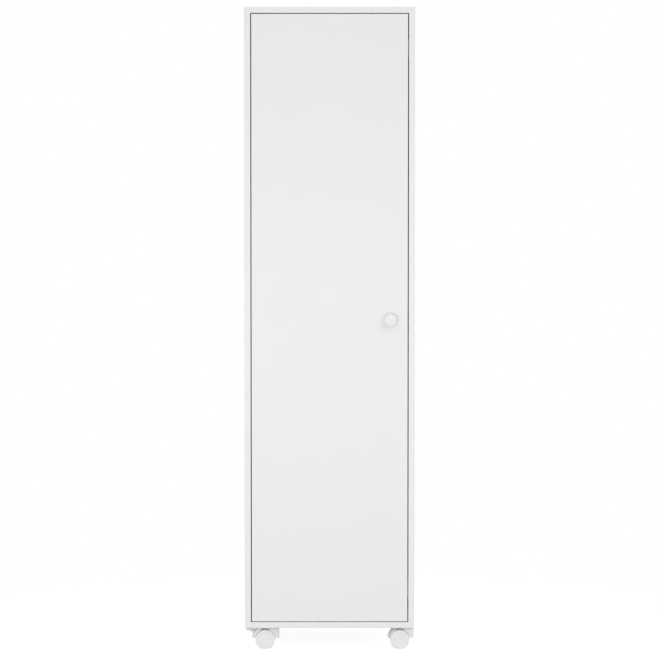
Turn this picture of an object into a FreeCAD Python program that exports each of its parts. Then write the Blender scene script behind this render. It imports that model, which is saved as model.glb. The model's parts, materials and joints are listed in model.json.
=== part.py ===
import FreeCAD, Part

# Broom cupboard: a tall, narrow lacquered cabinet with one inset door on hidden pivots, standing on
# four hooded twin-wheel castors. +Z is up and the door faces -Y. The origin is on the floor, under the
# middle of the space that the cabinet and its knob take up.

import os
from types import SimpleNamespace

import Sketcher
from FreeCAD import Rotation, Vector

# Driving dimensions in millimetres, and angles in degrees.
SIZES = {
    # carcass
    "width": 450.0,
    "depth": 380.0,
    "carcass_height": 1642.0,
    "board": 16.0,
    "edge_round": 1.0,
    "back_thickness": 6.0,
    "back_inset": 8.0,
    "groove_depth": 6.0,
    "panel_fit": 0.1,
    # dowels
    "dowel_diameter": 8.0,
    "dowel_spread": 125.0,
    "dowel_in_side": 20.0,
    "dowel_in_panel": 10.0,
    "dowel_end_gap": 0.5,
    "tight_fit": 0.02,
    # shelf on pins
    "shelf_thickness": 16.0,
    "shelf_space": 194.0,
    "shelf_setback": 30.0,
    "shelf_side_gap": 1.0,
    "shelf_pin_diameter": 5.0,
    "shelf_pin_depth": 9.0,
    "shelf_pin_reach": 8.0,
    "shelf_pin_collar": 8.0,
    "collar_thickness": 1.0,
    "shelf_pin_inset": 30.0,
    "hole_pitch": 32.0,
    # peg rail
    "rail_height": 50.0,
    "rail_thickness": 16.0,
    "rail_drop": 150.0,
    "rail_dowel_pitch": 24.0,
    "rail_dowel_diameter": 6.0,
    "peg_spacing": 120.0,
    "peg_stem": 9.0,
    "peg_reach": 38.0,
    "peg_head": 18.0,
    "peg_stud": 10.0,
    "peg_stud_diameter": 6.0,
    # door
    "door_thickness": 16.0,
    "door_side_gap": 2.6,
    "door_top_gap": 2.4,
    "door_bottom_gap": 1.8,
    "knob_diameter": 33.0,
    "knob_reach": 24.0,
    "knob_head": 13.0,
    "knob_neck": 14.0,
    "knob_round": 1.3,
    "knob_inset": 46.2,
    "knob_height": 801.0,
    "knob_screw_diameter": 4.0,
    "knob_screw_grip": 12.0,
    "knob_screw_head": 8.0,
    "knob_screw_head_height": 2.5,
    # pivot hinges
    "pivot_inset": 15.0,
    "pivot_diameter": 6.0,
    "pivot_engagement": 12.0,
    "bush_diameter": 10.0,
    "bush_length": 14.0,
    "running_fit": 0.05,
    "pivot_plate_length": 44.0,
    "pivot_plate_width": 13.0,
    "pivot_plate_thickness": 2.0,
    "pivot_plate_shift": 8.0,
    "pivot_screw_first": 12.0,
    "pivot_screw_pitch": 12.0,
    "washer_diameter": 12.0,
    # magnetic catches
    "catch_width": 16.0,
    "catch_depth": 16.0,
    "catch_body": 26.0,
    "catch_length": 46.0,
    "catch_ear": 4.0,
    "catch_screw_pitch": 36.0,
    "catch_end_distance": 90.0,
    "magnet_width": 8.0,
    "magnet_depth": 10.0,
    "magnet_length": 20.0,
    "magnet_stand": 0.5,
    "magnet_gap": 0.3,
    "strike_thickness": 1.5,
    "strike_width": 10.0,
    "strike_length": 34.0,
    # wood screws
    "screw_diameter": 3.0,
    "screw_head": 5.6,
    "screw_head_depth": 1.3,
    "screw_grip": 10.0,
    # castors
    "castor_height": 60.0,
    "castor_inset": 42.0,
    "left_castor_inset": 73.0,
    "right_castor_inset": 18.1,
    "trail": 20.0,
    "wheel_diameter": 52.0,
    "wheel_width": 16.5,
    "wheel_round": 1.3,
    "wheel_cap": 3.0,
    "wheel_rim": 3.0,
    "wheel_hub": 13.0,
    "wheel_web": 4.0,
    "wheel_side_gap": 0.5,
    "wheel_ring": 20.5,
    "ring_width": 0.8,
    "ring_depth": 0.5,
    "axle_diameter": 6.0,
    "axle_end_gap": 0.5,
    "hood_radius": 31.5,
    "brake_hood_radius": 36.0,
    "hood_wheel_gap": 0.6,
    "relief_diameter": 32.0,
    "hood_roof": 1.2,
    "hood_width": 42.0,
    "hood_front": 17.0,
    "hood_bottom": 29.8,
    "hood_web": 14.0,
    "hood_boss": 18.0,
    "hood_shoulder": 6.0,
    "hood_nose_round": 2.5,
    "hood_top_gap": 0.8,
    "castor_pin_diameter": 7.0,
    "castor_pin_depth": 22.0,
    "castor_plate_size": 34.0,
    "castor_plate_thickness": 2.0,
    "castor_plate_round": 3.0,
    "castor_screw_pitch": 25.0,
    # brake lever
    "lever_back": 25.2,
    "lever_rise": 17.7,
    "lever_boss": 5.0,
    "lever_length": 26.3,
    "lever_tread_rise": 12.0,
    "lever_tip": 7.2,
    "lever_heel": 10.4,
    "lever_elbow_back": 8.8,
    "lever_elbow_rise": 0.4,
    "lever_round": 0.8,
    "lever_width": 15.4,
    "lever_side_gap": 0.5,
    "lever_nose_gap": 0.7,
    "lever_slot_bottom": 36.5,
    "lever_pin_diameter": 2.5,
}

DOC = FreeCAD.newDocument("BroomCupboard")
NODES = []


class Size:
    """A length that holds both its value and its formula in the spreadsheet's cells."""

    def __init__(self, value, text):
        self.value = float(value)
        self.text = text

    def __add__(self, other):
        other = as_size(other)
        return Size(self.value + other.value, f"({self.text} + {other.text})")

    def __sub__(self, other):
        other = as_size(other)
        return Size(self.value - other.value, f"({self.text} - {other.text})")

    def __mul__(self, other):
        other = as_size(other)
        return Size(self.value * other.value, f"{self.text} * {other.text}")

    def __truediv__(self, other):
        other = as_size(other)
        return Size(self.value / other.value, f"{self.text} / {other.text}")

    def __neg__(self):
        return Size(-self.value, f"(-{self.text})")

    __radd__ = __add__
    __rmul__ = __mul__


def as_size(number):
    return number if isinstance(number, Size) else Size(number, f"({number})")


def make_sheet():
    """The spreadsheet of driving dimensions, and each of them as a Size."""
    sheet = DOC.addObject("Spreadsheet::Sheet", "Sizes")
    for row, (alias, number) in enumerate(SIZES.items(), 1):
        sheet.set(f"A{row}", alias)
        sheet.set(f"B{row}", str(number))
        sheet.setAlias(f"B{row}", alias)
    DOC.recompute()
    return SimpleNamespace(**{alias: Size(number, f"Sizes.{alias}") for alias, number in SIZES.items()})


s = make_sheet()

# Places and sizes that follow from the driving dimensions.
front = (s.depth - s.knob_reach) / -2  # the carcass's front plane
back = (s.depth + s.knob_reach) / 2
middle = s.knob_reach / 2
base = s.castor_height
inner_floor = base + s.board
ceiling = base + s.carcass_height - s.board
inner_width = s.width - 2 * s.board
inner_height = s.carcass_height - 2 * s.board
inner_side = inner_width / 2
side_centre = inner_side + s.board / 2
back_face = back - s.back_inset - s.back_thickness  # the back panel's front face
groove_width = s.back_thickness + 2 * s.panel_fit
groove_centre = s.depth / 2 - s.back_inset - s.back_thickness / 2
door_width = inner_width - 2 * s.door_side_gap
door_height = inner_height - s.door_top_gap - s.door_bottom_gap
door_bottom = inner_floor + s.door_bottom_gap
door_centre = door_bottom + door_height / 2
door_middle = front + s.door_thickness / 2
door_back = front + s.door_thickness
shelf_bottom = ceiling - s.shelf_space - s.shelf_thickness
rail_centre = shelf_bottom - s.rail_drop
pin_front = s.shelf_setback + s.shelf_pin_inset - s.depth / 2  # from the middle of the side
pin_back = back_face - middle - s.shelf_pin_inset
pivot_x = s.pivot_inset + s.door_side_gap - inner_side
knob_x = door_width / 2 - s.knob_inset
knob_z = s.knob_height - door_height / 2  # from the door's middle
strike_front = door_back + s.strike_thickness
catch_x = inner_side - s.catch_width / 2
catch_y = strike_front + s.magnet_gap + s.magnet_stand
catch_low = inner_floor + s.catch_end_distance
catch_high = ceiling - s.catch_end_distance
screw_hole = s.screw_diameter + 2 * s.tight_fit
screw_head_hole = s.screw_head + 2 * s.tight_fit
wheel_radius = s.wheel_diameter / 2
well_radius = wheel_radius + s.hood_wheel_gap
plate_bottom = s.castor_height - s.castor_plate_thickness
hood_top = plate_bottom - s.hood_top_gap
axle_hole = s.axle_diameter + 2 * s.running_fit
lever_x = s.trail * -1 - s.lever_back
lever_z = wheel_radius + s.lever_rise
left, right = -1, 1


def bind(thing, name, size):
    thing.setExpression(name, as_size(size).text)


def place(thing, x=0, y=0, z=0, turn=None):
    """Puts a piece at formulas of the sheet, after an optional fixed turn."""
    if turn:
        thing.Placement.Rotation = Rotation(Vector(*turn[0]), turn[1])
    for axis, amount in zip("xyz", (x, y, z)):
        bind(thing, f"Placement.Base.{axis}", amount)


def node(thing, name):
    """Names a finished piece and lists it for writing."""
    thing.Label = name
    NODES.append(thing)
    return thing


def new_body(name):
    return DOC.addObject("PartDesign::Body", f"{name}_body")


def sketch_on(body, plane, offset=(0, 0, 0)):
    """An empty sketch on one of the body's own origin planes, shifted along the sketch's axes."""
    feature = next(item for item in body.Origin.OriginFeatures if item.Role == plane)
    sketch = body.newObject("Sketcher::SketchObject", f"{body.Name}_sketch")
    sketch.AttachmentSupport = [(feature, "")]
    sketch.MapMode = "FlatFace"
    for axis, amount in zip("xyz", offset):
        bind(sketch, f"AttachmentOffset.Base.{axis}", amount)
    return sketch


def dimension(sketch, kind, *where):
    """Adds one dimension, whose last item is a Size, and binds it."""
    size = as_size(where[-1])
    index = sketch.addConstraint(Sketcher.Constraint(kind, *where[:-1], size.value))
    sketch.renameConstraint(index, f"size{index}")
    bind(sketch, f"Constraints.size{index}", size)


def pin_point(sketch, geometry, point, x, y):
    """Holds a sketch point at x, y from the sketch's origin."""
    for kind, axis, amount in (("DistanceX", -2, x), ("DistanceY", -1, y)):
        if as_size(amount).value == 0:
            sketch.addConstraint(Sketcher.Constraint("PointOnObject", geometry, point, axis))
        else:
            dimension(sketch, kind, -1, 1, geometry, point, amount)


def circle(sketch, diameter, x=0, y=0):
    at = Vector(as_size(x).value, as_size(y).value)
    index = sketch.addGeometry(Part.Circle(at, Vector(0, 0, 1), as_size(diameter).value / 2))
    pin_point(sketch, index, 3, x, y)
    dimension(sketch, "Diameter", index, diameter)


def outline(sketch, points):
    """A closed outline of straight lines through points given as Sizes or plain zeros."""
    spots = [Vector(as_size(x).value, as_size(y).value) for x, y in points]
    first = sketch.GeometryCount
    count = len(spots)
    for number in range(count):
        sketch.addGeometry(Part.LineSegment(spots[number], spots[(number + 1) % count]))
    for number in range(count):
        after = first + (number + 1) % count
        sketch.addConstraint(Sketcher.Constraint("Coincident", first + number, 2, after, 1))
    for number, (x, y) in enumerate(points):
        pin_point(sketch, first + number, 1, x, y)


def rectangle(sketch, wide, high, x=0, y=0):
    """A rectangle of the given width and height about x, y."""
    low_x, high_x = as_size(x) - wide / 2, as_size(x) + wide / 2
    low_y, high_y = as_size(y) - high / 2, as_size(y) + high / 2
    outline(sketch, [(low_x, low_y), (high_x, low_y), (high_x, high_y), (low_x, high_y)])


def finish_feature(body, feature, grows):
    """Recomputes a feature and makes sure that it changed the body the right way."""
    before = 0 if body.Shape.isNull() else body.Shape.Volume
    body.Tip = feature
    DOC.recompute()
    after = 0 if feature.Shape.isNull() else feature.Shape.Volume
    if not feature.isValid() or (after <= before if grows else after >= before):
        raise RuntimeError(f"{feature.Name} did not {'add' if grows else 'cut'} anything")
    return feature


def pad(body, sketch, length, midplane=False, reverse=False):
    feature = body.newObject("PartDesign::Pad", f"{body.Name}_pad")
    feature.Profile = sketch
    bind(feature, "Length", length)
    feature.Midplane = midplane
    feature.Reversed = reverse
    return finish_feature(body, feature, True)


def pocket(body, sketch, length, midplane=False, reverse=False):
    feature = body.newObject("PartDesign::Pocket", f"{body.Name}_pocket")
    feature.Profile = sketch
    bind(feature, "Length", length)
    feature.Midplane = midplane
    feature.Reversed = reverse
    return finish_feature(body, feature, False)


def revolve(body, sketch):
    """Turns a profile about the sketch's upright axis."""
    feature = body.newObject("PartDesign::Revolution", f"{body.Name}_turned")
    feature.Profile = sketch
    feature.ReferenceAxis = (sketch, ["V_Axis"])
    feature.Angle = 360
    return finish_feature(body, feature, True)


def fillet(body, radius, wanted):
    """Rounds every edge of the body that the test accepts."""
    names = [f"Edge{n}" for n, edge in enumerate(body.Shape.Edges, 1) if wanted(edge)]
    last = body.Tip
    feature = body.newObject("PartDesign::Fillet", f"{body.Name}_round")
    feature.Base = (last, names)
    bind(feature, "Radius", radius)
    return finish_feature(body, feature, False)


def drill(body, plane, offset, holes, depth, reverse=False):
    """Round holes, each given as diameter, x and y on the sketch."""
    sketch = sketch_on(body, plane, offset)
    for hole in holes:
        circle(sketch, *hole)
    return pocket(body, sketch, depth, reverse=reverse)


def on_circle(radius):
    """Accepts full circular edges of one radius."""
    return lambda edge: (isinstance(edge.Curve, Part.Circle) and edge.Closed
                         and abs(edge.Curve.Radius - radius) < 1e-4)


def spans(edge, axis):
    return getattr(edge.BoundBox, f"{axis}Length")


def at_corner(box, edge, first, second):
    """True where an edge lies on the box's limits in both of the named directions."""
    def on_limit(axis):
        low, high = getattr(edge.BoundBox, f"{axis}Min"), getattr(edge.BoundBox, f"{axis}Max")
        limits = getattr(box, f"{axis}Min"), getattr(box, f"{axis}Max")
        return high - low < 1e-3 and min(abs(low - limit) for limit in limits) < 1e-3
    return on_limit(first) and on_limit(second)


def outer_edges(body, skip_face=None):
    """Accepts the edges of the body's own box, without those of the face at one limit of Z."""
    box = body.Shape.BoundBox

    def wanted(edge):
        corner = any(at_corner(box, edge, *pair) for pair in (("X", "Y"), ("Y", "Z"), ("X", "Z")))
        flat = spans(edge, "Z") < 1e-3
        return corner and not (skip_face is not None and flat and abs(edge.BoundBox.ZMin - skip_face) < 1e-3)
    return wanted


def cylinder(diameter, length, x=0, y=0, z=0, turn=None):
    """A round bar from x, y, z along +Z, or along where the turn points it."""
    bar = DOC.addObject("Part::Cylinder", "bar")
    bind(bar, "Radius", diameter / 2)
    bind(bar, "Height", length)
    place(bar, x, y, z, turn)
    return bar


def fuse(base_shape, tool):
    union = DOC.addObject("Part::Fuse", "joined")
    union.Base, union.Tool = base_shape, tool
    return union


def cut(base_shape, tool):
    difference = DOC.addObject("Part::Cut", "cut")
    difference.Base, difference.Tool = base_shape, tool
    return difference


def group(name, pieces):
    """Identical loose pieces that share one node."""
    compound = DOC.addObject("Part::Compound", name)
    compound.Links = pieces
    return node(compound, name)


def wood_screw(x, y, z, turn=None):
    """A countersunk screw whose head face is at x, y, z and whose shank runs along +Z or the turn."""
    head = DOC.addObject("Part::Cone", "screw_head")
    bind(head, "Radius1", s.screw_head / 2)
    bind(head, "Radius2", s.screw_diameter / 2)
    bind(head, "Height", s.screw_head_depth)
    shank = cylinder(s.screw_diameter, s.screw_grip)
    screw = fuse(head, shank)
    place(screw, x, y, z, turn)
    return screw


UPSIDE_DOWN = ((1, 0, 0), 180)
ALONG_X = ((0, 1, 0), 90)
ALONG_MINUS_X = ((0, 1, 0), -90)
ALONG_Y = ((1, 0, 0), -90)
ALONG_MINUS_Y = ((1, 0, 0), 90)

dowel_rows = (-s.dowel_spread, as_size(0), s.dowel_spread)
castor_corners = [(x, y) for x in (-1, 1) for y in (-1, 1)]
left_castor_x = s.left_castor_inset - s.width / 2
right_castor_x = s.width / 2 - s.right_castor_inset
CASTORS = {
    "front_left": (left_castor_x, front + s.castor_inset, True),
    "front_right": (right_castor_x, front + s.castor_inset, False),
    "rear_left": (left_castor_x, back - s.castor_inset, False),
    "rear_right": (right_castor_x, back - s.castor_inset, True),
}
catch_heights = {"bottom": catch_low, "top": catch_high}
rail_dowel_offsets = (s.rail_dowel_pitch / -2, s.rail_dowel_pitch / 2)
rail_y = back_face - s.rail_thickness / 2


def castor_screw_places(x, y):
    half = s.castor_screw_pitch / 2
    return [(x + half * a, y + half * b) for a, b in castor_corners]


def side_panel(name, hand):
    """An upright board between the top and bottom, with its groove and holes on the inner face."""
    body = new_body(name)
    sketch = sketch_on(body, "XY_Plane")
    rectangle(sketch, s.board, s.depth)
    pad(body, sketch, inner_height)
    face = s.board / 2 * -hand
    inward = hand == right  # which way a cut from the inner face runs
    sketch = sketch_on(body, "YZ_Plane", (0, 0, face))
    rectangle(sketch, groove_width, inner_height * 1.1, groove_centre, inner_height / 2)
    pocket(body, sketch, s.groove_depth, reverse=inward)
    hole = s.shelf_pin_diameter + 2 * s.panel_fit
    height = shelf_bottom - inner_floor - s.shelf_pin_diameter / 2 - 2 * s.hole_pitch
    holes = drill(body, "YZ_Plane", (0, 0, face), [(hole, pin_front, height), (hole, pin_back, height)],
                  s.shelf_pin_depth + s.dowel_end_gap, inward)
    row = body.newObject("PartDesign::LinearPattern", f"{name}_row")
    row.Originals = [holes]
    row.Direction = (holes.Profile[0], ["V_Axis"])
    row.Occurrences = 5
    bind(row, "Length", 4 * s.hole_pitch)
    finish_feature(body, row, False)
    holes = [(s.rail_dowel_diameter + 2 * s.tight_fit, rail_y - middle, rail_centre - inner_floor + up)
             for up in rail_dowel_offsets]
    drill(body, "YZ_Plane", (0, 0, face), holes, s.dowel_in_panel + s.dowel_end_gap, inward)
    if hand == right:
        holes = [(screw_hole, catch_y + s.catch_depth / 2 - middle, at - inner_floor + up)
                 for at in catch_heights.values()
                 for up in (s.catch_screw_pitch / -2, s.catch_screw_pitch / 2)]
        drill(body, "YZ_Plane", (0, 0, face), holes, s.screw_grip - s.catch_ear + s.dowel_end_gap, inward)
    holes = [(s.dowel_diameter + 2 * s.tight_fit, 0, row_y) for row_y in dowel_rows]
    depth = s.dowel_in_side + s.dowel_end_gap
    drill(body, "XY_Plane", (0, 0, 0), holes, depth, reverse=True)
    drill(body, "XY_Plane", (0, 0, inner_height), holes, depth)
    box = body.Shape.BoundBox
    outer = box.XMin if hand == left else box.XMax
    fillet(body, s.edge_round, lambda edge: at_corner(box, edge, "X", "Y")
           and abs(edge.BoundBox.XMin - outer) < 1e-3)
    place(body, side_centre * hand, middle, inner_floor)
    return node(body, name)


def end_panel(name, is_top):
    """The top or bottom board, full width, with its inner face grooved and drilled."""
    body = new_body(name)
    sketch = sketch_on(body, "XY_Plane")
    rectangle(sketch, s.width, s.depth)
    pad(body, sketch, s.board)
    face = as_size(0) if is_top else s.board
    sketch = sketch_on(body, "XY_Plane", (0, 0, face))
    rectangle(sketch, inner_width + 2 * s.groove_depth, groove_width, 0, groove_centre)
    pocket(body, sketch, s.groove_depth, reverse=is_top)
    holes = [(s.dowel_diameter + 2 * s.tight_fit, side_centre * hand, row_y)
             for hand in (left, right) for row_y in dowel_rows]
    drill(body, "XY_Plane", (0, 0, face), holes, s.dowel_in_panel + s.dowel_end_gap, is_top)
    pivot_y = door_middle - middle
    sketch = sketch_on(body, "XY_Plane", (0, 0, face))
    rectangle(sketch, s.pivot_plate_length + 2 * s.panel_fit, s.pivot_plate_width + 2 * s.panel_fit,
              pivot_x + s.pivot_plate_shift, pivot_y)
    pocket(body, sketch, s.pivot_plate_thickness, reverse=is_top)
    holes = [(screw_hole, x, pivot_y) for x in pivot_screw_xs()]
    drill(body, "XY_Plane", (0, 0, face), holes, s.screw_grip + s.dowel_end_gap, is_top)
    if not is_top:
        holes = [(screw_hole, x, y - middle)
                 for castor_x, castor_y, brake in CASTORS.values()
                 for x, y in castor_screw_places(castor_x, castor_y)]
        depth = s.screw_grip - s.castor_plate_thickness + s.dowel_end_gap
        drill(body, "XY_Plane", (0, 0, 0), holes, depth, reverse=True)
    fillet(body, s.edge_round, outer_edges(body, face.value))
    place(body, 0, middle, ceiling if is_top else base)
    return node(body, name)


def pivot_screw_xs():
    first = pivot_x + s.pivot_screw_first
    return first, first + s.pivot_screw_pitch


def plain_board(name, wide, deep, high, x, y, z, rounded=True):
    """A flat rectangular board whose underside is at z."""
    body = new_body(name)
    sketch = sketch_on(body, "XY_Plane")
    rectangle(sketch, wide, deep)
    pad(body, sketch, high)
    if rounded:
        fillet(body, s.edge_round, outer_edges(body))
    place(body, x, y, z)
    return node(body, name)


def carcass_boards():
    side_panel("side_left", left)
    side_panel("side_right", right)
    end_panel("top_panel", True)
    end_panel("bottom_panel", False)
    reach = 2 * (s.groove_depth - s.dowel_end_gap)
    plain_board("back_panel", inner_width + reach, s.back_thickness, inner_height + reach,
                0, back_face + s.back_thickness / 2, inner_floor - reach / 2, rounded=False)
    shelf_depth = back_face - front - s.shelf_setback - s.shelf_side_gap
    plain_board("shelf", inner_width - 2 * s.shelf_side_gap, shelf_depth, s.shelf_thickness,
                0, front + s.shelf_setback + shelf_depth / 2, shelf_bottom)


def shelf_pins():
    """Four collared pins, half in the sides and half under the shelf."""
    pins = []
    for hand, turn in ((left, ALONG_X), (right, ALONG_MINUS_X)):
        for y in (pin_front + middle, pin_back + middle):
            shaft = cylinder(s.shelf_pin_diameter, s.shelf_pin_depth + s.shelf_pin_reach)
            collar = cylinder(s.shelf_pin_collar, s.collar_thickness, 0, 0, s.shelf_pin_depth)
            pin = fuse(shaft, collar)
            place(pin, (inner_side + s.shelf_pin_depth) * hand, y,
                  shelf_bottom - s.shelf_pin_diameter / 2, turn)
            pins.append(pin)
    group("shelf_pins", pins)


def dowels():
    length = s.dowel_in_side + s.dowel_in_panel
    for name, z in (("bottom_dowels", inner_floor - s.dowel_in_panel),
                    ("top_dowels", ceiling - s.dowel_in_side)):
        group(name, [cylinder(s.dowel_diameter, length, side_centre * hand, middle + row, z)
                     for hand in (left, right) for row in dowel_rows])
    length = 2 * s.dowel_in_panel
    group("rail_dowels", [cylinder(s.rail_dowel_diameter, length, inner_side * hand - s.dowel_in_panel,
                                   rail_y, rail_centre + up, ALONG_X)
                          for hand in (left, right) for up in rail_dowel_offsets])


def peg_rail():
    """A rail across the back with three turned pegs to hang brooms from."""
    body = new_body("peg_rail")
    sketch = sketch_on(body, "XY_Plane")
    rectangle(sketch, inner_width, s.rail_thickness)
    pad(body, sketch, s.rail_height, midplane=True)
    spots = (-s.peg_spacing, as_size(0), s.peg_spacing)
    holes = [(s.peg_stud_diameter + 2 * s.tight_fit, x, 0) for x in spots]
    drill(body, "XZ_Plane", (0, 0, s.rail_thickness / 2), holes, s.peg_stud + s.dowel_end_gap)
    ends = [(s.rail_dowel_diameter + 2 * s.tight_fit, 0, up) for up in rail_dowel_offsets]
    depth = s.dowel_in_panel + s.dowel_end_gap
    drill(body, "YZ_Plane", (0, 0, inner_width / -2), ends, depth, reverse=True)
    drill(body, "YZ_Plane", (0, 0, inner_width / 2), ends, depth)
    box = body.Shape.BoundBox
    fillet(body, s.edge_round, lambda edge: at_corner(box, edge, "Y", "Z")
           and abs(edge.BoundBox.YMin - box.YMin) < 1e-3)
    place(body, 0, rail_y, rail_centre)
    node(body, "peg_rail")
    group("hanging_pegs", [turned_peg(x) for x in spots])


def turned_peg(x):
    """One peg: a stud in the rail, a collar, a stem and a rounded head, pointing forwards."""
    body = new_body("peg")
    sketch = sketch_on(body, "XZ_Plane")
    stud, stem, head = s.peg_stud_diameter / 2, s.peg_stem / 2, s.peg_head / 2
    collar_end = s.peg_stud + 3 * s.collar_thickness
    head_start = s.peg_stud + s.peg_reach - head
    end = s.peg_stud + s.peg_reach
    outline(sketch, [(0, 0), (stud, 0), (stud, s.peg_stud), (head, s.peg_stud), (head, collar_end),
                     (stem, collar_end), (stem, head_start), (head, head_start), (head, end), (0, end)])
    revolve(body, sketch)
    fillet(body, s.edge_round, on_circle(head.value))
    place(body, x, back_face - s.rail_thickness + s.peg_stud, rail_centre, ALONG_MINUS_Y)
    return body


def pivot_plate(name, is_top):
    """A steel strip let into the board, with a hole for the pivot pin and two countersunk holes."""
    body = new_body(name)
    sketch = sketch_on(body, "XY_Plane")
    rectangle(sketch, s.pivot_plate_length, s.pivot_plate_width, s.pivot_plate_shift, 0)
    pad(body, sketch, s.pivot_plate_thickness)
    drill(body, "XY_Plane", (0, 0, s.pivot_plate_thickness),
          [(s.pivot_diameter + 2 * s.tight_fit, 0, 0)], s.pivot_plate_thickness)
    countersink(body, [(x - pivot_x, 0) for x in pivot_screw_xs()], s.pivot_plate_thickness, is_top)
    z = ceiling if is_top else inner_floor - s.pivot_plate_thickness
    place(body, pivot_x, door_middle, z)
    return node(body, name)


def countersink(body, places, thickness, from_below):
    """Screw holes through a plate, each widened by a cone on the head's side."""
    for x, y in places:
        sketch = sketch_on(body, "XZ_Plane", (x, 0, -y if isinstance(y, Size) else 0))
        head, shank, deep = screw_head_hole / 2, screw_hole / 2, s.screw_head_depth
        if from_below:
            points = [(0, 0), (head, 0), (shank, deep), (shank, thickness), (0, thickness)]
        else:
            points = [(0, 0), (shank, 0), (shank, thickness - deep), (head, thickness), (0, thickness)]
        outline(sketch, points)
        groove = body.newObject("PartDesign::Groove", f"{body.Name}_sink")
        groove.Profile = sketch
        groove.ReferenceAxis = (sketch, ["V_Axis"])
        groove.Angle = 360
        finish_feature(body, groove, False)


def pivot_hinge():
    """Plates, pins and screws at the door's two hinge corners, and the washer that carries the door."""
    pivot_plate("pivot_plate_top", True)
    pivot_plate("pivot_plate_bottom", False)
    for where, gap, z in (("bottom", s.door_bottom_gap, inner_floor - s.pivot_plate_thickness),
                          ("top", s.door_top_gap, ceiling - s.door_top_gap - s.pivot_engagement)):
        length = s.pivot_plate_thickness + gap + s.pivot_engagement
        node(cylinder(s.pivot_diameter, length, pivot_x, door_middle, z), f"pivot_pin_{where}")
    screws = [wood_screw(x, door_middle, ceiling) for x in pivot_screw_xs()]
    screws += [wood_screw(x, door_middle, inner_floor, UPSIDE_DOWN) for x in pivot_screw_xs()]
    group("pivot_screws", screws)
    tall = s.door_bottom_gap - s.panel_fit
    ring = cut(cylinder(s.washer_diameter, tall), cylinder(s.pivot_diameter + 4 * s.running_fit, tall))
    place(ring, pivot_x, door_middle, inner_floor)
    node(ring, "thrust_washer")


def door_panel():
    """The inset door, drilled for its bushes, knob and strike screws."""
    body = new_body("door_panel")
    sketch = sketch_on(body, "XZ_Plane")
    rectangle(sketch, door_width, door_height)
    pad(body, sketch, s.door_thickness, midplane=True)
    bush = [(s.bush_diameter + 2 * s.tight_fit, s.pivot_inset - door_width / 2, 0)]
    drill(body, "XY_Plane", (0, 0, door_height / 2), bush, s.bush_length)
    drill(body, "XY_Plane", (0, 0, door_height / -2), bush, s.bush_length, reverse=True)
    drill(body, "XZ_Plane", (0, 0, s.door_thickness / 2),
          [(s.knob_screw_diameter + 4 * s.panel_fit, knob_x, knob_z)], s.door_thickness)
    strikes = [(screw_hole, catch_x, at - door_centre + up) for at in catch_heights.values()
               for up in (s.strike_length / -3, s.strike_length / 3)]
    drill(body, "XZ_Plane", (0, 0, s.door_thickness / -2), strikes,
          s.screw_grip - s.strike_thickness + s.dowel_end_gap, reverse=True)
    fillet(body, s.edge_round, outer_edges(body))
    place(body, 0, door_middle, door_centre)
    return node(body, "door_panel")


def knob():
    """A turned knob: a waisted neck on the door and a flat round head."""
    body = new_body("knob")
    sketch = sketch_on(body, "XZ_Plane")
    head, neck, bore = s.knob_diameter / 2, s.knob_neck / 2, s.knob_screw_diameter / 2 + s.tight_fit
    head_start = s.knob_reach - s.knob_head
    deep = s.knob_screw_grip + s.dowel_end_gap
    outline(sketch, [(bore, 0), (neck, 0), (neck, head_start), (head, head_start),
                     (head, s.knob_reach), (0, s.knob_reach), (0, deep), (bore, deep)])
    revolve(body, sketch)
    fillet(body, s.knob_round, on_circle(head.value))
    place(body, knob_x, front, door_centre + knob_z, ALONG_MINUS_Y)
    node(body, "knob")
    length = s.door_thickness + s.knob_screw_grip
    shank = cylinder(s.knob_screw_diameter, length, 0, 0, -length)
    screw = fuse(cylinder(s.knob_screw_head, s.knob_screw_head_height), shank)
    place(screw, knob_x, door_back, door_centre + knob_z, ALONG_Y)
    node(screw, "knob_screw")


def bush(name, z):
    """A plastic sleeve in the door's edge, in which the pivot pin turns."""
    sleeve = cut(cylinder(s.bush_diameter, s.bush_length),
                 cylinder(s.pivot_diameter + 2 * s.running_fit, s.bush_length))
    place(sleeve, pivot_x, door_middle, z)
    node(sleeve, name)


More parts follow.
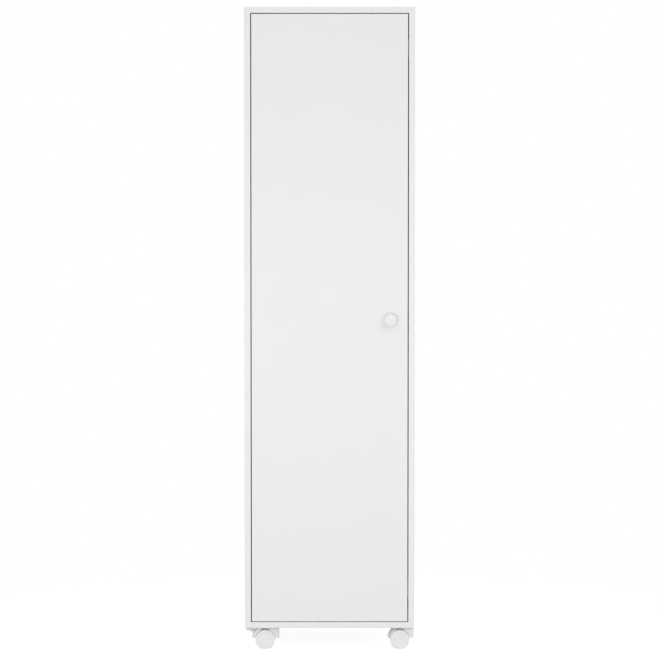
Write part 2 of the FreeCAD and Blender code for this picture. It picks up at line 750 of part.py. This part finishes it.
def catch(where, height):
    """A magnetic catch on the right side and the strike plate that it holds on the door."""
    body = new_body(f"catch_housing_{where}")
    sketch = sketch_on(body, "YZ_Plane")
    rectangle(sketch, s.catch_depth, s.catch_length, s.catch_depth / 2, 0)
    pad(body, sketch, s.catch_ear, reverse=True)
    sketch = sketch_on(body, "YZ_Plane")
    rectangle(sketch, s.catch_depth, s.catch_body, s.catch_depth / 2, 0)
    pad(body, sketch, s.catch_width, reverse=True)
    sketch = sketch_on(body, "XZ_Plane")
    slack = 2 * s.panel_fit
    rectangle(sketch, s.magnet_width + slack, s.magnet_length + slack, s.catch_width / -2, 0)
    pocket(body, sketch, s.magnet_depth)
    holes = [(screw_hole, s.catch_depth / 2, up)
             for up in (s.catch_screw_pitch / -2, s.catch_screw_pitch / 2)]
    drill(body, "YZ_Plane", (0, 0, 0), holes, s.catch_ear)
    place(body, inner_side, catch_y, height)
    node(body, f"catch_housing_{where}")
    magnet = DOC.addObject("Part::Box", "magnet")
    bind(magnet, "Length", s.magnet_width)
    bind(magnet, "Width", s.magnet_depth + s.magnet_stand)
    bind(magnet, "Height", s.magnet_length)
    place(magnet, catch_x - s.magnet_width / 2, catch_y - s.magnet_stand, height - s.magnet_length / 2)
    node(magnet, f"catch_magnet_{where}")
    body = new_body(f"strike_plate_{where}")
    sketch = sketch_on(body, "XZ_Plane")
    rectangle(sketch, s.strike_width, s.strike_length)
    pad(body, sketch, s.strike_thickness, reverse=True)
    holes = [(screw_head_hole, 0, up) for up in (s.strike_length / -3, s.strike_length / 3)]
    drill(body, "XZ_Plane", (0, 0, 0), holes, s.strike_thickness)
    place(body, catch_x, door_back, height)
    node(body, f"strike_plate_{where}")


def catches():
    for where, height in catch_heights.items():
        catch(where, height)
    turns = (s.catch_screw_pitch / -2, s.catch_screw_pitch / 2)
    group("catch_screws", [plain_screw(inner_side - s.catch_ear, catch_y + s.catch_depth / 2, at + up, ALONG_X)
                           for at in catch_heights.values() for up in turns])
    turns = (s.strike_length / -3, s.strike_length / 3)
    group("strike_screws", [wood_screw(catch_x, strike_front, at + up, ALONG_MINUS_Y)
                            for at in catch_heights.values() for up in turns])


def plain_screw(x, y, z, turn):
    """A round-head screw whose head sits on the surface at x, y, z."""
    shank = cylinder(s.screw_diameter, s.screw_grip)
    head = cylinder(s.screw_head, s.screw_head_depth, 0, 0, -s.screw_head_depth)
    screw = fuse(shank, head)
    place(screw, x, y, z, turn)
    return screw


def castor_plate(name, x, y):
    body = new_body(name)
    sketch = sketch_on(body, "XY_Plane")
    rectangle(sketch, s.castor_plate_size, s.castor_plate_size)
    pad(body, sketch, s.castor_plate_thickness)
    drill(body, "XY_Plane", (0, 0, s.castor_plate_thickness),
          [(s.castor_pin_diameter + 2 * s.tight_fit, 0, 0)], s.castor_plate_thickness)
    half = s.castor_screw_pitch / 2
    countersink(body, [(half * a, half * b) for a, b in castor_corners], s.castor_plate_thickness, True)
    box = body.Shape.BoundBox
    fillet(body, s.castor_plate_round, lambda edge: at_corner(box, edge, "X", "Y"))
    place(body, x, y, plate_bottom)
    return node(body, name)


def castor_hood(name, x, y, brake):
    """The swivelling body: a round hood over both wheels, a square end round the swivel pin, and a
    web between the wheels that carries the axle."""
    body = new_body(name)
    wheel_x = -s.trail
    radius = s.brake_hood_radius if brake else s.hood_radius
    sketch = sketch_on(body, "XZ_Plane")
    circle(sketch, 2 * radius, wheel_x, wheel_radius)
    pad(body, sketch, s.hood_width, midplane=True)
    tall = hood_top - s.hood_bottom
    sketch = sketch_on(body, "XZ_Plane")
    rectangle(sketch, s.hood_front + s.trail, tall, (s.hood_front - s.trail) / 2, s.hood_bottom + tall / 2)
    pad(body, sketch, s.hood_width, midplane=True)
    wide = 3 * radius
    for centre in (hood_top + wide / 2, s.hood_bottom - wide / 2):
        sketch = sketch_on(body, "XZ_Plane")
        rectangle(sketch, wide, wide, wheel_x, centre)
        pocket(body, sketch, 2 * s.hood_width, midplane=True)
    box = body.Shape.BoundBox
    fillet(body, s.hood_shoulder, lambda edge: (
        spans(edge, "Y") < 1e-3 and abs(abs(edge.BoundBox.YMin) - box.YMax) < 1e-3
        and (isinstance(edge.Curve, Part.Circle) or edge.BoundBox.ZMin > box.ZMax - 1e-3)))
    fillet(body, s.hood_nose_round, lambda edge: (
        edge.BoundBox.XMin > box.XMax - 1e-3 and edge.BoundBox.ZMax > box.ZMin + 1e-3))
    well_depth = (s.hood_width - s.hood_web) / 2
    relief_z = hood_top - s.hood_roof - s.relief_diameter / 2
    for side in (1, -1):
        for diameter, z in ((2 * well_radius, wheel_radius), (s.relief_diameter, relief_z)):
            drill(body, "XZ_Plane", (0, 0, s.hood_web / 2 * side), [(diameter, wheel_x, z)], well_depth,
                  reverse=side == 1)
    sketch = sketch_on(body, "XZ_Plane")
    high = s.hood_bottom + s.hood_boss / 2 - wheel_radius
    circle(sketch, s.hood_boss, wheel_x, wheel_radius)
    pad(body, sketch, s.hood_web, midplane=True)
    sketch = sketch_on(body, "XZ_Plane")
    rectangle(sketch, s.hood_boss, high, wheel_x, wheel_radius + high / 2)
    pad(body, sketch, s.hood_web, midplane=True)
    drill(body, "XY_Plane", (0, 0, hood_top), [(s.castor_pin_diameter + 2 * s.running_fit, 0, 0)],
          s.castor_pin_depth)
    sketch = sketch_on(body, "XZ_Plane")
    circle(sketch, s.axle_diameter + 2 * s.tight_fit, wheel_x, wheel_radius)
    pocket(body, sketch, s.hood_width, midplane=True)
    if brake:
        sketch = sketch_on(body, "XZ_Plane")
        low_x = wheel_x - radius * 1.2
        high_x = lever_x + s.lever_boss / 2 + s.lever_nose_gap
        high_z = hood_top * 1.1
        outline(sketch, [(low_x, s.lever_slot_bottom), (high_x, s.lever_slot_bottom),
                         (high_x, high_z), (low_x, high_z)])
        pocket(body, sketch, s.lever_width + 2 * s.lever_side_gap, midplane=True)
        sketch = sketch_on(body, "XZ_Plane")
        circle(sketch, s.lever_pin_diameter + 2 * s.tight_fit, lever_x, lever_z)
        pocket(body, sketch, 2 * s.hood_width, midplane=True)
    place(body, x, y, 0)
    return node(body, name)


def wheel(name, x, y, turn):
    """A hollow moulded wheel whose closed face points outwards and whose hub is open inwards."""
    body = new_body(name)
    sketch = sketch_on(body, "XY_Plane")
    hub, bore, rim = s.wheel_hub / 2, axle_hole / 2, wheel_radius - s.wheel_rim
    outline(sketch, [(0, 0), (s.wheel_ring - s.ring_width, 0), (s.wheel_ring - s.ring_width, s.ring_depth),
                     (s.wheel_ring, s.ring_depth), (s.wheel_ring, 0), (wheel_radius, 0),
                     (wheel_radius, s.wheel_width), (rim, s.wheel_width), (rim, s.wheel_web),
                     (hub, s.wheel_web), (hub, s.wheel_width), (bore, s.wheel_width),
                     (bore, s.wheel_cap), (0, s.wheel_cap)])
    revolve(body, sketch)
    fillet(body, s.wheel_round, on_circle(wheel_radius.value))
    place(body, x, y, wheel_radius, turn)
    return node(body, name)


def brake_lever(name, x, y):
    """A wedge-shaped foot lever with a flat tread, hinged in the hood's slot and raised when the brake is off."""
    body = new_body(name)
    sketch = sketch_on(body, "XZ_Plane")
    circle(sketch, s.lever_boss)
    pad(body, sketch, s.lever_width, midplane=True)
    sketch = sketch_on(body, "XZ_Plane")
    outline(sketch, [(0, 0), (s.lever_boss * -0.42, s.lever_boss * 0.27), (-s.lever_heel, s.lever_tread_rise),
                     (-s.lever_length, s.lever_tread_rise), (-s.lever_length, s.lever_tread_rise - s.lever_tip),
                     (-s.lever_elbow_back, s.lever_elbow_rise), (s.lever_boss * -0.353, s.lever_boss * -0.353)])
    pad(body, sketch, s.lever_width, midplane=True)
    limit = -s.lever_boss.value
    fillet(body, s.lever_round, lambda edge: spans(edge, "Y") > 1 and edge.BoundBox.XMax < limit)
    sketch = sketch_on(body, "XZ_Plane")
    circle(sketch, s.lever_pin_diameter + 2 * s.running_fit)
    pocket(body, sketch, 2 * s.lever_width, midplane=True)
    place(body, x + lever_x, y, lever_z)
    return node(body, name)


def castors():
    """Four castors: plate and swivel pin on the carcass, then hood, axle, two wheels and any brake."""
    pins, screws = [], []
    for where, (x, y, brake) in CASTORS.items():
        castor_plate(f"{where}_castor_plate", x, y)
        castor_hood(f"{where}_castor_hood", x, y, brake)
        pin_length = s.castor_plate_thickness + s.hood_top_gap + s.castor_pin_depth - s.dowel_end_gap
        pins.append(cylinder(s.castor_pin_diameter, pin_length, x, y, base - pin_length))
        screws += [wood_screw(a, b, plate_bottom) for a, b in castor_screw_places(x, y)]
        reach = s.hood_web / 2 + s.wheel_side_gap + s.wheel_width
        axle_half = reach - s.wheel_cap - s.axle_end_gap
        node(cylinder(s.axle_diameter, 2 * axle_half, x - s.trail, y - axle_half, wheel_radius, ALONG_Y),
             f"{where}_castor_axle")
        wheel(f"{where}_front_wheel", x - s.trail, y - reach, None)
        wheel(f"{where}_back_wheel", x - s.trail, y + reach, ((0, 0, 1), 180))
        if brake:
            brake_lever(f"{where}_brake_lever", x, y)
            half = s.hood_width / 2 - s.dowel_end_gap
            node(cylinder(s.lever_pin_diameter, 2 * half, x + lever_x, y - half, lever_z, ALONG_Y),
                 f"{where}_brake_pin")
    group("castor_pins", pins)
    group("castor_screws", screws)


def check_document():
    """Stops before writing anything if an object failed or a piece is empty or broken."""
    DOC.recompute()
    for thing in DOC.Objects:
        if {"Invalid", "Error"} & set(thing.State):
            raise RuntimeError(f"{thing.Label} failed: {thing.State}")
    for piece in NODES:
        if piece.Shape.isNull() or not piece.Shape.isValid() or not piece.Shape.Solids:
            raise RuntimeError(f"{piece.Label} is not a valid solid")


def main():
    carcass_boards()
    shelf_pins()
    dowels()
    peg_rail()
    pivot_hinge()
    door_panel()
    knob()
    bush("pivot_bush_bottom", door_bottom)
    bush("pivot_bush_top", door_bottom + door_height - s.bush_length)
    catches()
    castors()
    check_document()
    os.makedirs("parts", exist_ok=True)
    for piece in NODES:
        piece.Shape.exportStep(f"parts/{piece.Label}.step")
        print(piece.Label, len(piece.Shape.Solids), round(piece.Shape.Volume, 1))


main()
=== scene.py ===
import json
import math

import bpy
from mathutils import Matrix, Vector


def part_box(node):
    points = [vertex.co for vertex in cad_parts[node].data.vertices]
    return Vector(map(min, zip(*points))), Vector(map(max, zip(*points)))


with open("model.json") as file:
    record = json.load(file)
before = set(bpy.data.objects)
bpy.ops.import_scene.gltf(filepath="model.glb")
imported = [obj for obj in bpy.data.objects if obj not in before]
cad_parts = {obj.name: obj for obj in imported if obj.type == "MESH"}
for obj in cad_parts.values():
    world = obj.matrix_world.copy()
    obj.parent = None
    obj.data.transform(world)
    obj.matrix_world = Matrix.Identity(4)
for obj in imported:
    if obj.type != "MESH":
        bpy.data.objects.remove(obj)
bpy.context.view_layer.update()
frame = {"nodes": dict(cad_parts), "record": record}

# Camera, fitted to the cabinet's four front corners in the 660 x 660 photograph.
IMAGE_SIDE = 660
CAMERA_DISTANCE = 6.0
CAMERA_HEIGHT = 1.082
CAMERA_SIDE = 0.001
CAMERA_PITCH_DEG = 2.195
CAMERA_REACH = 100
FOCAL_PIXELS = 2272.9
SENSOR_MM = 36.0

# The plane of the carcass's front edges, from the frame.
FRONT_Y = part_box("side_left")[0].y

# Colours are linear, and a grey is one number.
LACQUER_GREY = 0.835
PLASTIC_GREY = 0.85
NYLON_GREY = 0.25
PHOSPHATE_DARK, PHOSPHATE_LIGHT = 0.17, 0.27
FERRITE_DARK, FERRITE_LIGHT = 0.018, 0.05
ZINC_DARK = (0.50, 0.51, 0.53, 1)
ZINC_LIGHT = (0.64, 0.65, 0.66, 1)
BEECH_DARK = (0.55, 0.36, 0.19, 1)
BEECH_LIGHT = (0.68, 0.48, 0.28, 1)
BEECH_FLECK = (0.36, 0.21, 0.10, 1)

# How far a pattern is squeezed along x, y and z, where it runs along a grain.
ZINC_STREAKS = (40, 900, 40)
BEECH_GRAIN = (30, 30, 3)
BEECH_FLECKS = (400, 400, 60)

# The floor's half width, the grey of its bounced light, its own glow, and the radii between which
# the object's shadow fades into plain white.
FLOOR_HALF = 30.0
FLOOR_BOUNCE_GREY = 0.70
FLOOR_GLOW = 0.77
FLOOR_SHADE_REACH = (0.25, 1.3)

# Lamps: metres to the right, in front of the door and above the floor, then the height that they
# point at, their width and height, and watts.
KEY_PLACE = (7.0, 12.0, 8.5)
KEY_AIM_HEIGHT = 0.9
KEY_SIZE = (12.0, 9.0)
KEY_POWER = 250
FILL_PLACE = (-0.3, 3.6, 0.68)
FILL_AIM_HEIGHT = 0.8
FILL_SIZE = (2.8, 0.9)
FILL_POWER = 38
WORLD_LIGHT = 0.665

# Sockets of a Mix node that blends colours.
MIX_INPUTS = (0, 6, 7)
MIX_RESULT = 2


def grey(value):
    return (value, value, value, 1.0)


class Nodes:
    """A short way to build a material's node tree."""

    def __init__(self, name):
        self.material = bpy.data.materials.new(name)
        self.material.use_nodes = True
        self.tree = self.material.node_tree
        self.shader = self.tree.nodes["Principled BSDF"]
        self.output = self.tree.nodes["Material Output"]

    def feed(self, socket, value):
        """Links an input to another node's output, or sets it to a plain value."""
        if isinstance(value, bpy.types.NodeSocket):
            self.tree.links.new(value, socket)
        else:
            socket.default_value = value

    def add(self, kind, inputs=None, **settings):
        node = self.tree.nodes.new(kind)
        for key, value in settings.items():
            setattr(node, key, value)
        for key, value in (inputs or {}).items():
            self.feed(node.inputs[key], value)
        return node

    def place(self, stretch=(1, 1, 1)):
        """The surface point in metres, multiplied by stretch."""
        where = self.add("ShaderNodeTexCoord").outputs["Object"]
        return self.add("ShaderNodeMapping", {"Vector": where, "Scale": stretch}).outputs["Vector"]

    def noise(self, where, scale, detail=3.0):
        node = self.add("ShaderNodeTexNoise", {"Vector": where, "Scale": scale, "Detail": detail})
        return node.outputs["Fac"]

    def between(self, factor, low, high):
        """Maps a 0 to 1 factor to a number between low and high."""
        node = self.add("ShaderNodeMapRange", {"Value": factor, "To Min": low, "To Max": high})
        return node.outputs["Result"]

    def mix(self, factor, first, second):
        node = self.add("ShaderNodeMix", data_type="RGBA")
        for index, value in zip(MIX_INPUTS, (factor, first, second)):
            self.feed(node.inputs[index], value)
        return node.outputs[MIX_RESULT]

    def bump(self, height, strength, distance):
        node = self.add("ShaderNodeBump", {"Height": height, "Strength": strength, "Distance": distance})
        self.link(node.outputs["Normal"], "Normal")

    def link(self, socket, name):
        self.tree.links.new(socket, self.shader.inputs[name])

    def set(self, **values):
        for key, value in values.items():
            self.shader.inputs[key.replace("_", " ")].default_value = value

    def show(self, shader):
        """Makes this shader the one that is seen."""
        self.tree.links.new(shader.outputs[0], self.output.inputs["Surface"])


def spread(n, factor, middle, share):
    """A grey that varies by a share of itself to either side."""
    return n.mix(factor, grey(middle * (1 - share)), grey(middle * (1 + share)))


def uneven_gloss(n, factor, roughness, reach):
    """A roughness that varies by reach to either side."""
    n.link(n.between(factor, roughness - reach, roughness + reach), "Roughness")


def lacquer(name, base_grey, roughness):
    """Sprayed satin lacquer: a faint cloudiness, fine orange peel and slightly uneven gloss."""
    n = Nodes(name)
    where = n.place()
    cloud = n.noise(where, scale=2.2, detail=2.0)
    orange_peel = n.noise(where, scale=420.0, detail=2.0)
    n.link(spread(n, cloud, base_grey, share=0.006), "Base Color")
    uneven_gloss(n, n.noise(where, scale=14.0), roughness, reach=0.03)
    n.bump(orange_peel, strength=0.05, distance=0.0004)
    n.set(IOR=1.46)
    return n.material


def moulded(name, base_grey, roughness, grain):
    """Injection-moulded plastic with a fine spark-eroded grain and faint flow clouding."""
    n = Nodes(name)
    where = n.place()
    n.link(spread(n, n.noise(where, scale=30.0), base_grey, share=0.015), "Base Color")
    uneven_gloss(n, n.noise(where, scale=90.0), roughness, reach=0.05)
    n.bump(n.noise(where, scale=2600.0, detail=1.0), strength=grain, distance=0.0002)
    n.set(IOR=1.49)
    return n.material


def zinc_steel(name):
    """Bright zinc plate: metal with fine rolled streaks and a spangled, slightly dull gloss."""
    n = Nodes(name)
    streaks = n.noise(n.place(ZINC_STREAKS), scale=1.0, detail=4.0)
    n.link(n.mix(streaks, ZINC_DARK, ZINC_LIGHT), "Base Color")
    n.link(n.between(streaks, low=0.24, high=0.42), "Roughness")
    n.bump(streaks, strength=0.12, distance=0.0002)
    n.set(Metallic=1.0)
    return n.material


def dark_steel(name):
    """Phosphated steel: dull, dark and finely mottled."""
    n = Nodes(name)
    mottle = n.noise(n.place(), scale=700.0)
    n.link(n.mix(mottle, grey(PHOSPHATE_DARK), grey(PHOSPHATE_LIGHT)), "Base Color")
    n.link(n.between(mottle, low=0.5, high=0.65), "Roughness")
    n.bump(mottle, strength=0.15, distance=0.0002)
    n.set(Metallic=0.6)
    return n.material


def ferrite(name):
    """Dark sintered magnet with a granular, matt surface."""
    n = Nodes(name)
    grain = n.noise(n.place(), scale=1800.0, detail=2.0)
    n.link(n.mix(grain, grey(FERRITE_DARK), grey(FERRITE_LIGHT)), "Base Color")
    n.bump(grain, strength=0.4, distance=0.0003)
    n.set(Roughness=0.7)
    return n.material


def beech(name):
    """Pale wood with long grain and short darker flecks."""
    n = Nodes(name)
    grain = n.noise(n.place(BEECH_GRAIN), scale=6.0, detail=5.0)
    flecks = n.between(n.noise(n.place(BEECH_FLECKS), scale=1.0), low=0.0, high=0.35)
    base = n.mix(grain, BEECH_DARK, BEECH_LIGHT)
    n.link(n.mix(flecks, base, BEECH_FLECK), "Base Color")
    n.bump(grain, strength=0.15, distance=0.0003)
    n.set(Roughness=0.6)
    return n.material


def finishes():
    """One material for each slot of the record."""
    # Painted shade: the knob's lacquer is the door's lacquer made darker, so the knob reads darker than
    # the door.
    shaded_knob_grey = LACQUER_GREY * 0.945
    # Painted shade: the hood's plastic is the wheels' plastic made darker, for the shade under the
    # carcass.
    shaded_hood_grey = PLASTIC_GREY * 0.95
    return {
        "white_lacquer": lacquer("white_lacquer", LACQUER_GREY, roughness=0.42),
        "knob_lacquer": lacquer("knob_lacquer", shaded_knob_grey, roughness=0.34),
        "castor_plastic": moulded("castor_plastic", PLASTIC_GREY, roughness=0.34, grain=0.08),
        "hood_plastic": moulded("hood_plastic", shaded_hood_grey, roughness=0.38, grain=0.08),
        "white_plastic": moulded("white_plastic", PLASTIC_GREY, roughness=0.45, grain=0.12),
        "zinc_steel": zinc_steel("zinc_steel"),
        "dark_steel": dark_steel("dark_steel"),
        "grey_plastic": moulded("grey_plastic", NYLON_GREY, roughness=0.5, grain=0.12),
        "magnet": ferrite("magnet"),
        "beech": beech("beech"),
    }


def dress_nodes():
    """Gives every CAD node the finish of its slot."""
    made = finishes()
    for part in frame["record"]["subparts"]:
        mesh = frame["nodes"][part["node"]].data
        mesh.materials.clear()
        mesh.materials.append(made[part["material_slot"]])


def seen_directly(n):
    """1 for camera, mirror and see-through rays, 0 for the rays that carry light between surfaces."""
    rays = n.add("ShaderNodeLightPath").outputs
    total = n.add("ShaderNodeMath", {0: rays["Is Camera Ray"], 1: rays["Is Glossy Ray"]}, operation="ADD")
    return n.add("ShaderNodeMath", {0: total.outputs[0], 1: rays["Is Transmission Ray"]},
                 operation="ADD", use_clamp=True).outputs[0]


def floor_finish():
    """Bounces light like matt paint. Seen directly it is white, but for the shadow near the object."""
    n = Nodes("floor")
    n.set(Roughness=0.9)
    paler_grey = FLOOR_BOUNCE_GREY * 1.01
    paint = n.mix(n.noise(n.place(), scale=3.0), grey(FLOOR_BOUNCE_GREY), grey(paler_grey))
    n.link(paint, "Base Color")
    glow = n.add("ShaderNodeEmission", {"Color": grey(1.0), "Strength": FLOOR_GLOW})
    near = n.add("ShaderNodeAddShader", {0: n.shader.outputs[0], 1: glow.outputs[0]})
    white = n.add("ShaderNodeEmission", {"Color": grey(1.0), "Strength": 1.0})
    radius = n.add("ShaderNodeVectorMath", {0: n.place()}, operation="LENGTH").outputs["Value"]
    shade_from, shade_to = FLOOR_SHADE_REACH
    fade = n.add("ShaderNodeMapRange", {"Value": radius, "From Min": shade_from, "From Max": shade_to},
                 interpolation_type="SMOOTHSTEP").outputs["Result"]
    shown = n.add("ShaderNodeMixShader", {0: fade, 1: near.outputs[0], 2: white.outputs[0]})
    n.show(n.add("ShaderNodeMixShader",
                 {0: seen_directly(n), 1: n.shader.outputs[0], 2: shown.outputs[0]}))
    return n.material


def floor():
    mesh = bpy.data.meshes.new("floor")
    corners = [(x * FLOOR_HALF, y * FLOOR_HALF, 0) for x, y in ((-1, -1), (1, -1), (1, 1), (-1, 1))]
    mesh.from_pydata(corners, [], [(0, 1, 2, 3)])
    mesh.materials.append(floor_finish())
    plane = bpy.data.objects.new("floor", mesh)
    bpy.context.scene.collection.objects.link(plane)


class WorldNodes(Nodes):
    """The same for the world's node tree."""

    def __init__(self):
        world = bpy.data.worlds.new("studio")
        bpy.context.scene.world = world
        world.use_nodes = True
        self.tree = world.node_tree
        self.output = self.tree.nodes["World Output"]
        self.background = self.tree.nodes["Background"]


def studio_world():
    """A white backdrop for the camera and reflections, and a plain soft light for everything else."""
    n = WorldNodes()
    n.feed(n.background.inputs["Color"], grey(1.0))
    n.feed(n.background.inputs["Strength"], WORLD_LIGHT)
    white = n.add("ShaderNodeBackground", {"Color": grey(1.0), "Strength": 1.0})
    n.show(n.add("ShaderNodeMixShader",
                 {0: seen_directly(n), 1: n.background.outputs[0], 2: white.outputs[0]}))


def area_light(name, place, aim_height, size, power):
    """A soft rectangular lamp in front of the door that points at the door's plane."""
    right, ahead, height = place
    at = Vector((right, FRONT_Y - ahead, height))
    aim = Vector((0, FRONT_Y, aim_height))
    lamp = bpy.data.lights.new(name, "AREA")
    lamp.shape = "RECTANGLE"
    lamp.size, lamp.size_y = size
    lamp.energy = power
    holder = bpy.data.objects.new(name, lamp)
    holder.location = at
    holder.rotation_euler = (aim - at).to_track_quat("-Z", "Y").to_euler()
    bpy.context.scene.collection.objects.link(holder)


def studio_lights():
    """A far, high key light from the right, and a low, wide fill close in front."""
    area_light("key", KEY_PLACE, KEY_AIM_HEIGHT, KEY_SIZE, KEY_POWER)
    area_light("fill", FILL_PLACE, FILL_AIM_HEIGHT, FILL_SIZE, FILL_POWER)


def camera():
    data = bpy.data.cameras.new("camera")
    data.sensor_width = SENSOR_MM
    data.lens = FOCAL_PIXELS / IMAGE_SIDE * SENSOR_MM
    data.clip_end = CAMERA_REACH
    holder = bpy.data.objects.new("camera", data)
    holder.location = (CAMERA_SIDE, FRONT_Y - CAMERA_DISTANCE, CAMERA_HEIGHT)
    holder.rotation_euler = (math.radians(90 - CAMERA_PITCH_DEG), 0, 0)
    bpy.context.scene.collection.objects.link(holder)
    bpy.context.scene.camera = holder


dress_nodes()
floor()
studio_world()
studio_lights()
camera()
bpy.context.scene.view_settings.view_transform = "Standard"
